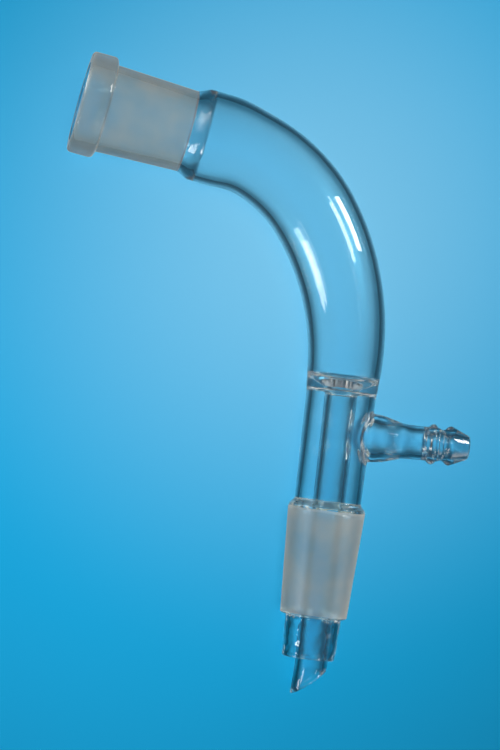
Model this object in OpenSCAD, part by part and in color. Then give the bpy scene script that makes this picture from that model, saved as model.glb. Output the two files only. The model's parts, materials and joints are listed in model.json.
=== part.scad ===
// Vacuum take-off adapter: one fused piece of blown glass.
// It is worked out upright, with the ground cone's axis on Z, the cone's big end at the origin
// and the side arm along +X, and is then laid down as it rests on a bench.

/* [Ground joints] */
// Diameter of both ground tapers at their big end (mm)
joint_d = 18.8; // [18.4:0.1:19.2]
// Length of each ground taper (mm)
joint_l = 26; // [24:0.5:28]
// Length over which a ground taper narrows by 1 mm (mm)
taper_run = 10; // [9:0.5:12]

/* [Glass] */
// Wall of the bend, the jacket and the cone (mm)
wall = 1.45; // [1.2:0.05:1.7]
// Radius of the fire-polished edges (mm)
polish_r = 0.5; // [0.3:0.05:0.55]

/* [Socket] */
// Diameter of the collar round the socket's mouth (mm)
collar_d = 25; // [24:0.5:27]
// Length of the collar (mm)
collar_l = 6.7; // [5:0.1:9]
// Outer diameter of the socket just behind its collar (mm)
socket_front_d = 21.5; // [21.3:0.1:22.5]
// Outer diameter of the socket at its rear (mm)
socket_rear_d = 19.95; // [19.4:0.05:20.6]
// Length of the clear glass between the ground face and the bend (mm)
flare_l = 6.2; // [5:0.1:10]

/* [Bend] */
// Angle that the tube turns through in all (deg)
bend_turn = 81.8; // [70:0.1:90]
// Radius of the centreline in the upper, tighter part of the bend (mm)
bend_r = 38.1; // [34:0.1:46]
// Radius of the centreline in the lower, slacker part of the bend (mm)
slack_r = 61.5; // [55:0.5:90]
// Angle that the slacker part turns through (deg)
slack_turn = 35.4; // [20:0.1:45]
// Outer diameter where the bend meets the socket's flare (mm)
bend_top_d = 22.6; // [22:0.1:23.5]
// Outer diameter along the middle of the bend (mm)
bend_mid_d = 21.1; // [20:0.1:21.5]
// Outer diameter at the foot of the bend, above the ring seal (mm)
bend_foot_d = 18; // [17.7:0.1:18.4]

/* [Jacket and ring seal] */
// Outer diameter of the jacket just above the cone (mm)
jacket_low_d = 16.2; // [16:0.1:16.6]
// Outer diameter of the jacket under the ring seal (mm)
jacket_top_d = 17; // [16.8:0.1:17.4]
// Height of the ring seal's floor, at its outer edge, above the cone's big end (mm)
seal_z = 32.3; // [31.5:0.1:36]
// Slope of the ring seal's floor towards the drip tube (deg)
seal_slope = 27; // [15:1:30]
// Thickness of the ring seal, measured along the drip tube (mm)
seal_wall = 2; // [1.6:0.1:2.3]

/* [Skirt below the cone] */
// Outer diameter of the skirt under the cone (mm)
skirt_top_d = 13.5; // [13.2:0.1:13.8]
// Outer diameter at the skirt's open end (mm)
skirt_end_d = 12.8; // [12.6:0.1:13]
// Length of the skirt (mm)
skirt_l = 10.3; // [8:0.1:14]

/* [Drip tube] */
// Outer diameter of the drip tube (mm)
drip_d = 7.9; // [7.6:0.1:8]
// Wall of the drip tube (mm)
drip_wall = 1.1; // [1:0.05:1.3]
// Lean of the drip tube towards the side arm (deg)
drip_lean = 0.8; // [0:0.1:0.9]
// Distance from the cone's big end down to the drip tip (mm)
drip_tip = 45.2; // [44:0.1:52]
// Angle between the cut at the tip and a square cut (deg)
drip_cut = 39.7; // [30:0.1:50]

/* [Side arm] */
// Height where the side arm's axis crosses the cone's axis, above the cone's big end (mm)
arm_z = 18.4; // [16:0.1:19.5]
// Lean of the side arm towards the bend (deg)
arm_lean = 1.2; // [0:0.1:2.5]
// Distance along the side arm from the cone's axis to the end of the hose barb (mm)
arm_reach = 32.6; // [31:0.1:40]
// Diameter of the side arm behind the hose barb (mm)
arm_d = 8.2; // [7.9:0.1:8.4]
// Diameter of the hose barb's first ridge (mm)
barb_d1 = 9.9; // [9.4:0.1:10.4]
// Diameter of the hose barb's second ridge (mm)
barb_d2 = 9.6; // [9:0.1:9.8]

/* [Hidden] */
$fn = 96;

// Ground tapers
joint_r = joint_d / 2;
taper_end_r = joint_r - joint_l / taper_run / 2;

// Socket, measured from the end of the bend to the rim
socket_l = joint_l + 3;
rim_z = flare_l + socket_l;
collar_z = rim_z - collar_l;
ground_z = rim_z - joint_l;

// Collar: rounding of its heel, height of that rounding's centre, and rounding of its brim
heel_r = 1.1;
heel_z = 1.3;
brim_r = 1;

// Loft of the bend: rings and sides, and how its ends sink into the wall of the revolved glass
slack_rings = 16;
tight_rings = 18;
bend_sides = 48;
lap = 0.5;
inset = 0.04;

// Turns over which the bend swells at its top and narrows at its foot
swell_turn = 14;
narrow_turn = 40;

// Ring seal and drip tube: the bend's foot, the top of the jacket's space and the throat
foot_z = seal_z + 1.9;
under_z = seal_z - 2.9;
throat_z = seal_z - 3.4;
chamber_r = bend_foot_d / 2 - wall;
drip_r = drip_d / 2;
drip_bore_r = drip_r - drip_wall;

// Inside of the jacket and the skirt
low_bore_r = jacket_low_d / 2 - 1.15;
top_bore_r = jacket_top_d / 2 - wall;
skirt_bore_r = skirt_end_d / 2 - 1.2;
skirt_z = -joint_l - skirt_l;

// How far a rounding sinks into the glass that it is fused to
sink = 0.12;

// Hose barb, measured along the arm: its start, the flanks of its ridges and its roundings
barb_l = 11.1;
barb_z = arm_reach - barb_l;
ridge_gap = 4.2;
ridge_r = 0.4;
arm_r = arm_d / 2;
waist_r = 3.7;
nose_r = 2.5;

// Bore of the side arm: its hole in the jacket, its waist, its bulb and its way through the barb
hole_r = 3.75;
neck_bore_r = 3.35;
bulb_bore_r = 3.5;
arm_bore_r = 2.95;
barb_bore_r = 2.5;
end_bore_r = 2.1;

function ease(t) = let (k = min(max(t, 0), 1)) k * k * (3 - 2 * k);
function mix(a, b, t) = a + (b - a) * t;

// Points round a centre, from one angle to another
function arc(x, z, r, a0, a1, n = 6) =
    [for (i = [0:n]) let (a = mix(a0, a1, i / n)) [x + r * cos(a), z + r * sin(a)]];

// An eased run of profile points from one radius and height to another
function run(r0, z0, r1, z1, n = 8) =
    [for (i = [0:n]) [mix(r0, r1, ease(i / n)), mix(z0, z1, i / n)]];

// Centreline of the bend in its own plane, at an angle turned from its foot
function spine(a) =
    let (m = min(a, slack_turn), low = [cos(m), sin(m)])
    [0, foot_z] + slack_r * (low - [1, 0]) + bend_r * ([cos(a), sin(a)] - low);

// Height of the ring seal's floor at a distance from the axis
function floor_z(r) = seal_z - (chamber_r - r) * tan(seal_slope);

// A rounding of radius r that touches a slope parallel to that floor. Its centre is at x, and the
// slope is drop below the floor. It lies above the slope with side 1 and below it with side -1.
function on_slope(x, drop, r, side, a0, a1) =
    arc(x, floor_z(x) - drop + side * r / cos(seal_slope), r, a0, a1);

// Outer radius of the bend at an angle turned from its foot
function bend_outer(a) =
    mix(bend_mid_d, bend_foot_d, pow(max(1 - a / narrow_turn, 0), 1.5)) / 2
    + (bend_top_d - bend_mid_d) / 2 * ease((a - bend_turn + swell_turn) / swell_turn);

// One ring of the bend: its angle, a shift along the centreline and its radius
function ring(a, shift, r) =
    let (c = spine(a) + shift * [-sin(a), cos(a)])
    [for (k = [0:bend_sides - 1])
        let (side = 360 * k / bend_sides, out = r * cos(side))
        [c.x + out * cos(a), r * sin(side), c.y + out * sin(a)]];

// The adapter rests on the cone's big end, the widest part of the bend and the collar's heel.
// Seats are their places in the bend's plane, and drops are how far they bulge below the cone.
bend_seat = spine(narrow_turn);
bend_drop = bend_mid_d / 2 - joint_r;
collar_seat = spine(bend_turn) + (collar_z + heel_z) * [-sin(bend_turn), cos(bend_turn)];
collar_drop = collar_d / 2 - joint_r;
seat_area = collar_seat.x * bend_seat.y - collar_seat.y * bend_seat.x;
slope_x = (bend_drop * collar_seat.y - collar_drop * bend_seat.y) / seat_area;
slope_y = (collar_drop * bend_seat.x - bend_drop * collar_seat.x) / seat_area;
rest_pitch = -atan(slope_y);
rest_roll = atan(slope_x * cos(rest_pitch));

// Closed tube wall along the bend
module bend() {
    low = [for (i = [1:slack_rings]) slack_turn * i / slack_rings];
    high = [for (i = [1:tight_rings - 1]) mix(slack_turn, bend_turn, i / tight_rings)];
    middle = [for (a = concat(low, high)) [a, 0]];
    stations = concat(
        [[0, -lap], [0, lap / 2]], middle, [[bend_turn, -lap / 2], [bend_turn, lap]]);
    last = len(stations) - 1;
    n = bend_sides;
    function sunk(i) = i < 2 || i > last - 2 ? inset : 0;
    outer = [for (i = [0:last]) let (s = stations[i])
        each ring(s[0], s[1], bend_outer(s[0]) - sunk(i))];
    inner = [for (i = [0:last]) let (s = stations[i])
        each ring(s[0], s[1], bend_outer(s[0]) - wall + sunk(i))];
    base = n * (last + 1);
    skins = [for (i = [0:last - 1], k = [0:n - 1])
        let (a = i * n + k, b = i * n + (k + 1) % n)
        each [[a, a + n, b + n, b], [base + a, base + b, base + b + n, base + a + n]]];
    foot = [for (k = [0:n - 1]) let (m = (k + 1) % n) [k, m, base + m, base + k]];
    top = [for (k = [0:n - 1])
        let (a = last * n + k, b = last * n + (k + 1) % n) [a, base + a, base + b, b]];
    polyhedron(points = concat(outer, inner), faces = concat(skins, foot, top));
}

// Socket wall with its collar, ground taper and flare, standing on the end of the bend.
// The wall is thickest in the flare, where the socket was sealed to the bend.
module socket() {
    flare_r = bend_top_d / 2;
    back_r = socket_rear_d / 2;
    front_r = socket_front_d / 2;
    collar_r = collar_d / 2;
    rotate_extrude() polygon(concat(
        [[flare_r, 0]],
        run(flare_r, flare_l - 0.9, back_r, flare_l + 2.1),
        [[front_r, collar_z], [front_r + 0.2, collar_z]],
        arc(collar_r - heel_r, collar_z + heel_z, heel_r, -60, 0, 4),
        arc(collar_r - brim_r, rim_z - brim_r, brim_r, 0, 90),
        arc(joint_r + polish_r, rim_z - polish_r, polish_r, 90, 180),
        [[taper_end_r, ground_z]],
        run(taper_end_r, flare_l + 1.4, flare_r - wall, flare_l - 2.6),
        [[flare_r - wall, 0]]
    ));
}

// Outside of the glass round the main axis: skirt, cone, shoulder, jacket and ring seal
module main_outer() {
    skirt_r = skirt_end_d / 2;
    step = 0.3;
    rotate_extrude() polygon(concat(
        [[0, skirt_z]],
        arc(skirt_r - polish_r, skirt_z + polish_r, polish_r, -90, 0),
        [[skirt_top_d / 2, -joint_l - step]],
        [[taper_end_r - step, -joint_l], [taper_end_r, step - joint_l]],
        [[joint_r, 0]],
        run(joint_r - 0.05, 0.4, jacket_low_d / 2, 2.2, 6),
        run(jacket_top_d / 2, under_z - 2, bend_foot_d / 2 - 0.25, seal_z - 1, 6),
        [[bend_foot_d / 2, foot_z], [0, foot_z]]
    ));
}

// Space between the jacket and the drip tube, from the ring seal to the open skirt
module jacket_space() {
    dome_r = 1;
    fillet_r = 1.2;
    ceiling = 90 + seal_slope;
    rotate_extrude() polygon(concat(
        [[0, skirt_z - 1], [skirt_bore_r + polish_r, skirt_z - 1]],
        arc(skirt_bore_r + polish_r, skirt_z + polish_r, polish_r, -90, -180),
        run(skirt_bore_r + 0.2, -joint_l - 1.5, taper_end_r - wall, 2 - joint_l, 6),
        run(joint_r - wall - 0.35, -1.5, low_bore_r, 2.5, 6),
        on_slope(top_bore_r - dome_r, seal_wall, dome_r, -1, 0, ceiling),
        on_slope(drip_r + fillet_r - sink, seal_wall, fillet_r, -1, ceiling, 165),
        [[drip_r - 0.5, throat_z - 1.5], [0, throat_z - 1.5]]
    ));
}

// Inside of the bend's foot: the sloping floor and the lip that leads into the drip tube
module funnel() {
    corner_r = 1.6;
    lip_r = 1.2;
    rotate_extrude() polygon(concat(
        [[0, foot_z + 1], [chamber_r, foot_z + 1]],
        on_slope(chamber_r - corner_r, 0, corner_r, 1, 0, seal_slope - 90),
        on_slope(drip_bore_r + lip_r - sink, 0, lip_r, -1, 90 + seal_slope, 170),
        [[drip_bore_r - 0.5, throat_z], [0, throat_z]]
    ));
}

// Rod down the drip tube's axis, from a height above the throat of the funnel
module drip_rod(r, rise) {
    translate([0, 0, throat_z])
        rotate([0, 180 - drip_lean, 0])
        translate([0, 0, -rise])
        cylinder(r = r, h = rise + throat_z + drip_tip + 2);
}

module drip_tube() {
    block = 40;
    reach = throat_z + drip_tip;
    difference() {
        drip_rod(drip_r, 1);
        translate([reach * sin(drip_lean) - drip_r, 0, -drip_tip])
            rotate([0, -drip_cut, 0])
            translate([-block / 2, -block / 2, -block]) cube(block);
    }
}

// One ridge of the hose barb: its flank and its rounded crest, which turns as far as an angle
function ridge(z, foot_r, d, last) = concat(
    run(foot_r, z, d / 2 - 0.1, z + 1.3, 5),
    arc(d / 2 - ridge_r, z + 1.7, ridge_r, -20, last, 4)
);

// Side arm with its swollen root and two barbs, turned about its own axis
module arm_outer() {
    root_r = 6.5;
    rotate_extrude() polygon(concat(
        [[0, 4], [root_r, 4], [root_r, 7.8]],
        run(6.4, 8.2, 5.9, 9, 3),
        run(5.85, 9.2, arm_r + 0.05, 18),
        ridge(barb_z + 0.6, arm_r, barb_d1, 60),
        run(arm_r, barb_z + 3.3, waist_r, barb_z + 4.6, 4),
        ridge(barb_z + 0.6 + ridge_gap, waist_r + 0.1, barb_d2, 20),
        arc(nose_r, arm_reach - polish_r, polish_r, 20, 90, 4),
        [[0, arm_reach]]
    ));
}

// Bore of the side arm, wide at the jacket and in its bulb and narrow in the barb
module arm_bore() {
    rotate_extrude() polygon(concat(
        [[0, 5], [hole_r, 5]],
        run(hole_r, 9, neck_bore_r, 11.4, 4),
        run(neck_bore_r, 12, bulb_bore_r, 14, 4),
        run(bulb_bore_r, 15, arm_bore_r, 19.4),
        run(arm_bore_r, barb_z - 0.2, barb_bore_r, barb_z + 0.6, 4),
        [[barb_bore_r, arm_reach - 5]],
        [[end_bore_r, arm_reach - polish_r]],
        [[end_bore_r + polish_r, arm_reach + 0.2]],
        [[0, arm_reach + 0.2]]
    ));
}

// Turns its children from Z to the side arm's axis
module along_arm() {
    translate([0, 0, arm_z]) rotate([0, 90 - arm_lean, 0]) children();
}

module take_off_adapter() {
    color("lightcyan", 0.6)
    rotate([0, rest_roll, 0])
    rotate([rest_pitch - 90, 0, 0]) {
        bend();
        translate([spine(bend_turn).x, 0, spine(bend_turn).y])
            rotate([0, -bend_turn, 0]) socket();
        difference() {
            union() {
                difference() {
                    union() {
                        main_outer();
                        along_arm() arm_outer();
                    }
                    jacket_space();
                    along_arm() arm_bore();
                }
                drip_tube();
            }
            funnel();
            drip_rod(drip_bore_r, 4);
        }
    }
}

take_off_adapter();
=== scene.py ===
"""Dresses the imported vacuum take-off adapter as blown glass on a studio table.

The adapter is worked out upright, with the ground cone's axis on Z, the cone's big end at the
origin and the side arm along +X, and is then laid down on the frame's own mounts.
"""

import json
import math

import bmesh
import bpy
from bpy.props import FloatProperty, FloatVectorProperty, IntProperty, PointerProperty
from mathutils import Matrix, Vector

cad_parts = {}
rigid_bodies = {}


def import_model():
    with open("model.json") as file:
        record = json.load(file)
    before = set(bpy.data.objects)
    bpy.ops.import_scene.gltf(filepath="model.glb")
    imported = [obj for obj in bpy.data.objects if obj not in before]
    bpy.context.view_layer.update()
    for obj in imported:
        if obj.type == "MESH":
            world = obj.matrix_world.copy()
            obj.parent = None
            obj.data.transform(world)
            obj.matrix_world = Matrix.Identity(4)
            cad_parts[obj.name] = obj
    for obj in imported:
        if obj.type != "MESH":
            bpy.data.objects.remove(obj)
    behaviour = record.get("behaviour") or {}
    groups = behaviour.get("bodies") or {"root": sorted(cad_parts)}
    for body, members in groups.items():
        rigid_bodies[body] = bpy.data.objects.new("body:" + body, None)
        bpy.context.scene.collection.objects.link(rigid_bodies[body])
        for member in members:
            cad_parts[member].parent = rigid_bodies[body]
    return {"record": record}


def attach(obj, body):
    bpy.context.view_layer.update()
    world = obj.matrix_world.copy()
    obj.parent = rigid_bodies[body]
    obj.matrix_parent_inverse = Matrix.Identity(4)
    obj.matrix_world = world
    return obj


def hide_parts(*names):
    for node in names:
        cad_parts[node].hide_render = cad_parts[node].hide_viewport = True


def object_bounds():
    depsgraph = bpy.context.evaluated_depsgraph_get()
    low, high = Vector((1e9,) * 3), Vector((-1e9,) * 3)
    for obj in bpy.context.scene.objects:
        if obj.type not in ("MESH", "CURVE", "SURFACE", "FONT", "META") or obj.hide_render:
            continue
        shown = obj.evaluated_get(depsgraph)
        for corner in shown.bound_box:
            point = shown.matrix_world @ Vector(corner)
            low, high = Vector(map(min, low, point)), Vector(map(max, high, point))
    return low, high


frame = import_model()
CAD_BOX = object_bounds()

bl_info = {
    "name": "Vacuum Take-Off Adapter",
    "version": (1, 0, 0),
    "blender": (4, 5, 0),
    "location": "3D View > Sidebar > Adapter",
    "description": "Models a blown-glass vacuum take-off adapter and its studio table",
    "category": "Object",
}

MM = 0.001
NODE = "take_off_adapter"
BODY = "root"
PIECE = "adapter_glass"
MOUNTS = {m["name"]: m for m in frame["record"]["mounts"]}

# Length over which a ground taper's radius falls by 1
TAPER = 20
# Heights of the jacket's shoulder above the cone, outside and inside, in millimetres
SHOULDER_Z = 2.2
BORE_SHOULDER_Z = 2.5
# Faces round the guides that new glass is seated on
GUIDE_SIDES = 720

# Turns over which the bend narrows to its foot and swells to the socket
FOOT_NARROWS = math.radians(40)
TOP_SWELLS = math.radians(14)
# Turns over which its bore is drawn aside after the foot and comes back before the top
FOOT_DRAWS, TOP_DRAWS = 0.5, 0.35

# Colours of the light that passes through in a shadow, of milky light, and of the painted lines
# at the joints' edges: a painted highlight on the cone and painted shade on the socket
CLEAR_SHADOW = (0.93, 0.965, 0.975)
GROUND_SHADOW = (0.80, 0.83, 0.83)
CREAM = (1.0, 0.90, 0.78)
CONE_PAINTED_HIGHLIGHT = (1.0, 0.97, 0.9)
SOCKET_PAINTED_SHADE = (0.5, 0.24, 0.17)
# How far milky light spreads in from the edge, on the socket's wall and on ground faces
WALL_BLOOM, GROUND_BLOOM = 0.3, 0.5
# Place of the cone's painted highlight line below its big end, and depth of the ground grain, in
# metres
CONE_HIGHLIGHT_AT = 0.0003
GRAIN_DEPTH = 0.00002
# Share of the fine ripples, range of the film that shows as smears, and their roughness
FINE_SHARE = 0.04
SMEARS = (0.55, 0.8)
FILM_DULL = 0.02
# How far the grinding rings are drawn out round the joint, their share in the grain, and the
# range of the patches that shows as wear
RINGS_SQUASH = (0.04, 0.04, 1.0)
RINGS_SHARE = 0.5
WORN = (0.35, 0.75)

# Studio, in metres: the middle of the painted pool of light on the table, with the adapter
# upright
PAINTED_LIGHT_AT = Vector((-0.012, 0, 0.069))
TABLE_SIZE = 4
# The point that the lamps stand round, and the places and sizes of the card and the ceiling
CENTRE = Vector((0, 0.05, 0))
CARD_AT, CARD_SIZE = Vector((0.04, 0.09, 1.3)), (0.45, 0.70)
CEILING_AT, CEILING_SIZE = Vector((0, 0.05, 1.4)), (1.6, 1.6)
# Strip lamps: name, degrees round the table and above it, size, and share of the main lamp's
# light. They all stand as far from the centre, and face one point.
STRIPS = (
    ("strip", 30, 14, (0.16, 0.13), 1),
    ("high_strip", 30, 36, (0.16, 0.05), 1 / 6),
    ("far_strip", 208, 23, (0.15, 0.11), 1 / 2.4))
STRIPS_FAR = 0.6
STRIPS_AIM = Vector((0, 0.06, 0))
# Windows of the room: how high they stand, as the sine of the angle above the table, how many
# there are and how far round they are moved. Their panes fade in over a range, where 0 is half
# way between two windows and 0.5 is the middle of one.
WINDOW_FOOT, WINDOW_TOP = 0.04, 0.5
WINDOWS = 2
WINDOW_AT = 0.683
PANE = (0.36, 0.42)
# Light goes through many walls of glass, and turns back inside the thick ones
BOUNCES = 64


def mount(name):
    """Place and axis of one of the frame's mounts."""
    return Vector(MOUNTS[name]["pos_m"]), Vector(MOUNTS[name]["axis"]).normalized()


CONE_AT, CONE_AXIS = mount("ground_cone")
SOCKET_AT, SOCKET_AXIS = mount("ground_socket")
BARB_AT, BARB_AXIS = mount("hose_barb")
UP = -CONE_AXIS
ALONG = (BARB_AXIS - UP * BARB_AXIS.dot(UP)).normalized()
UPRIGHT = Matrix((ALONG, UP.cross(ALONG), UP)).transposed()


def upright(place):
    """A place in the frame as it is with the adapter upright."""
    return UPRIGHT.transposed() @ (place - CONE_AT)


SOCKET_RIM = upright(SOCKET_AT)
SOCKET_OUT = UPRIGHT.transposed() @ SOCKET_AXIS
BEND_TURN = math.atan2(-SOCKET_OUT.x, SOCKET_OUT.z)
ARM_LEAN = math.asin(BARB_AXIS.dot(UP))
BARB_END = upright(BARB_AT)
ARM_REACH = BARB_END.x / math.cos(ARM_LEAN)
ARM_Z = BARB_END.z - BARB_END.x * math.tan(ARM_LEAN)


# ---------------------------------------------------------------- settings

def length(name, description, millimetres):
    return FloatProperty(
        name=name, description=description, default=millimetres * MM,
        unit="LENGTH", precision=6, min=0.0)


def angle(name, description, degrees):
    return FloatProperty(
        name=name, description=description, default=math.radians(degrees), subtype="ANGLE")


def share(name, description, value):
    return FloatProperty(
        name=name, description=description, default=value, subtype="FACTOR", min=0.0, max=1.0)


def colour(name, description, value):
    return FloatVectorProperty(
        name=name, description=description, default=value, subtype="COLOR",
        size=3, min=0.0, max=1.0)


class AdapterSizes(bpy.types.PropertyGroup):
    """Sizes of the blown glass."""
    joint_d: length("Joint big end", "Diameter of both ground tapers at their big end", 18.8)
    joint_l: length("Joint length", "Length of each ground taper", 26)
    wall: length("Wall", "Wall of the bend, the jacket and the cone", 1.45)
    polish_r: length("Polish", "Radius of the fire-polished edges", 0.5)
    collar_d: length("Collar", "Diameter of the collar round the socket's mouth", 25)
    collar_l: length("Collar length", "Length of the collar", 6.7)
    socket_front_d: length("Socket front", "Outer diameter just behind the collar", 21.5)
    socket_rear_d: length("Socket rear", "Outer diameter of the socket at its rear", 19.95)
    flare_l: length("Flare", "Length of the clear glass between ground face and bend", 6.2)
    bend_top_d: length("Bend top", "Outer diameter where the bend meets the socket", 22.6)
    bend_mid_d: length("Bend middle", "Outer diameter along the middle of the bend", 21.1)
    bend_foot_d: length("Bend foot", "Outer diameter above the ring seal", 18)
    drawn: length("Drawn wall", "How far the bend's bore lies towards its outer side", 0.2)
    jacket_low_d: length("Jacket bottom", "Outer diameter just above the cone", 16.2)
    jacket_top_d: length("Jacket top", "Outer diameter under the ring seal", 17)
    seal_z: length("Seal height", "Height of the ring seal's floor at its outer edge", 32.3)
    seal_slope: angle("Seal slope", "Slope of the ring seal's floor towards the drip tube", 27)
    seal_wall: length("Seal wall", "Thickness of the ring seal along the drip tube", 2)
    skirt_top_d: length("Skirt top", "Outer diameter of the skirt under the cone", 13.5)
    skirt_end_d: length("Skirt end", "Outer diameter at the skirt's open end", 12.8)
    skirt_l: length("Skirt length", "Length of the skirt", 10.3)
    drip_d: length("Drip tube", "Outer diameter of the drip tube", 7.9)
    drip_wall: length("Drip tube wall", "Wall of the drip tube", 1.1)
    drip_tip: length("Drip tip", "Distance from the cone's big end down to the tip", 45.4)
    drip_lean: angle("Drip tube lean", "Lean of the drip tube towards the side arm", 0.8)
    drip_cut: angle("Drip tip cut", "Angle between the cut at the tip and a square cut", 39.7)
    arm_d: length("Side arm", "Diameter of the side arm behind the hose barb", 8.2)
    barb_d1: length("First barb", "Diameter of the hose barb's first ridge", 9.9)
    barb_d2: length("Second barb", "Diameter of the hose barb's second ridge", 9.6)
    sides: IntProperty(
        name="Sides", description="Faces round each tube", default=96, min=48, max=144)


class AdapterFinish(bpy.types.PropertyGroup):
    """Clear and ground glass."""
    tint: colour(
        "Glass tint", "Colour that light takes on through the glass", (0.925, 0.982, 0.985))
    ground: colour("Ground glass", "Colour of the ground faces", (0.44, 0.64, 0.73))
    cloud: colour(
        "Cloudy patches", "Colour of the drier patches of the ground faces", (0.84, 0.79, 0.72))
    ior: FloatProperty(name="Refraction", description="Index of refraction", default=1.474)
    satin: share("Satin", "Roughness of the ground faces", 0.33)
    clearness: share("Clearness", "Light that passes through the ground faces", 0.74)
    bloom: share("Bloom", "Milky light along the edges of frosted glass", 1.0)
    tooling: share("Tooling", "Roughness of the ring seal's throat, where it was tooled", 0.24)
    waviness: length("Waviness", "Depth of the ripples left by hand blowing", 0.06)
    lumps: length("Lumps", "Depth of the lumps where the glass was sealed and shaped", 0.3)


class AdapterStudio(bpy.types.PropertyGroup):
    """Table, lamps and camera."""
    # Painted pool of light: the table takes the floor colour in its middle, paler than its own
    # rim colour, fading out over the pool distance
    floor: colour("Table", "Colour of the middle of the studio table", (0.17, 0.50, 0.74))
    rim: colour(
        "Table edge", "Colour that the table falls to round the middle", (0.012, 0.39, 0.73))
    gloss: share("Table satin", "Roughness of the studio table", 0.33)
    pool: length("Pool", "Distance over which the table falls to its edge colour", 115)
    card: FloatProperty(name="Card", description="Light of the card over the table", default=1.8)
    lamp: FloatProperty(name="Lamp", description="Light of the main strip lamp", default=25)
    glow: colour("Lamp colour", "Colour of the strip lamps and windows", (1.0, 0.95, 0.88))
    room: colour("Room", "Light that comes from the room on all sides", (0.55, 0.53, 0.50))
    dim: colour("Dim room", "What gloss and glass show of the room", (0.11, 0.10, 0.105))
    windows: FloatProperty(
        name="Windows", description="Light of the room's windows", default=4.0)
    sky: colour("Ceiling", "Light of the ceiling that the glass reflects", (0, 0.074, 0.118))
    lens: FloatProperty(name="Lens", description="Focal length", default=200.0, unit="CAMERA")
    view_l: length("View height", "Height of the view at the adapter", 182.04)
    aim_x: length("Aim across", "Distance of the cone's big end right of the centre", 18.59)
    aim_y: length("Aim down", "Distance of the cone's big end below the centre", 32.65)
    lean: angle("Lean", "Lean of the cone's axis in the view", 7.2)
    turn: angle("Turn", "Turn of the socket's mouth towards the camera", 5.55)


# ---------------------------------------------------------------- profiles (radius, height) in mm

def ease(t):
    """From 0 to 1, slow at both ends."""
    t = min(max(t, 0.0), 1.0)
    return t * t * (3 - 2 * t)


def mix(a, b, t):
    return a + (b - a) * t


def arc(x, z, r, first, last, steps=6):
    """Points round a centre, from one angle to another."""
    turns = [math.radians(mix(first, last, i / steps)) for i in range(steps + 1)]
    return [(x + r * math.cos(t), z + r * math.sin(t)) for t in turns]


def run(r0, z0, r1, z1, steps=8):
    """An eased run from one radius and height to another."""
    return [(mix(r0, r1, ease(i / steps)), mix(z0, z1, i / steps)) for i in range(steps + 1)]


def line(r0, z0, r1, z1, steps):
    """A straight run in equal steps."""
    return [(mix(r0, r1, i / steps), mix(z0, z1, i / steps)) for i in range(steps + 1)]


def near(value, place, reach):
    """1 at a place, easing to 0 at its reach."""
    return ease(1 - abs(value - place) / reach)


def held(points, gap=0.15, long=0.8):
    """The same profile with holding points close to the corners of its long runs."""
    out = [points[0]]
    for a, b in zip(points, points[1:]):
        size = math.dist(a, b)
        if size < 1e-6:
            continue
        if size > long:
            k = gap / size
            out.append((mix(a[0], b[0], k), mix(a[1], b[1], k)))
            out.append((mix(b[0], a[0], k), mix(b[1], a[1], k)))
        out.append(b)
    return out


# ---------------------------------------------------------------- modelling by hand

def start_clean():
    """Leaves edit mode and deselects everything."""
    if bpy.context.object and bpy.context.object.mode != "OBJECT":
        bpy.ops.object.mode_set(mode="OBJECT")
    bpy.ops.object.select_all(action="DESELECT")


def pick(*objects):
    """Selects only these objects, with the first one active."""
    start_clean()
    for o in objects:
        o.select_set(True)
    bpy.context.view_layer.objects.active = objects[0]


def edit():
    bpy.ops.object.mode_set(mode="EDIT")


def done():
    bpy.ops.object.mode_set(mode="OBJECT")


def take(kind, test):
    """Selects, in the open mesh, only the vertices, open edges or faces that pass a test."""
    bpy.ops.mesh.select_all(action="DESELECT")
    bpy.ops.mesh.select_mode(type=kind)
    mesh = bpy.context.object.data
    work = bmesh.from_edit_mesh(mesh)
    if kind == "VERT":
        for v in work.verts:
            v.select_set(test(v.co))
        work.select_flush_mode()
    elif kind == "EDGE":
        for e in work.edges:
            lone = e.is_boundary or e.is_wire
            e.select_set(lone and test((e.verts[0].co + e.verts[1].co) / 2))
    else:
        for f in work.faces:
            f.select_set(test(f.calc_center_median()))
    bmesh.update_edit_mesh(mesh)


def draw(name, points, place):
    """Starts an object with a line of edges, drawn vertex by vertex."""
    start_clean()
    places = [place(*p) for p in points]
    bpy.ops.mesh.primitive_plane_add(size=MM, location=places[0])
    bpy.ops.object.transform_apply(location=True, rotation=True, scale=True)
    bpy.context.object.name = name
    edit()
    bpy.ops.mesh.select_mode(type="VERT")
    bpy.ops.mesh.select_all(action="SELECT")
    bpy.ops.mesh.merge(type="CENTER")
    for a, b in zip(places, places[1:]):
        bpy.ops.mesh.extrude_region_move(TRANSFORM_OT_translate={"value": b - a})
    return bpy.context.object


def spin_round(sides, centre=(0, 0, 0), axis=(0, 0, 1)):
    """Turns the drawn line right round an axis."""
    bpy.ops.mesh.select_all(action="SELECT")
    bpy.ops.mesh.spin(steps=sides, angle=2 * math.pi, center=centre, axis=axis)
    weld()


def weld(gap=0.002):
    """Merges all vertices closer than a gap in millimetres."""
    bpy.ops.mesh.select_all(action="SELECT")
    bpy.ops.mesh.remove_doubles(threshold=gap * MM)
    bpy.ops.mesh.select_all(action="DESELECT")


def on_z(r, z):
    """A place in the plane of the side arm, from a radius and a height in millimetres."""
    return Vector((r * MM, 0.0, z * MM))


def join(*objects):
    pick(*objects)
    bpy.ops.object.join()
    return objects[0]


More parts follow.
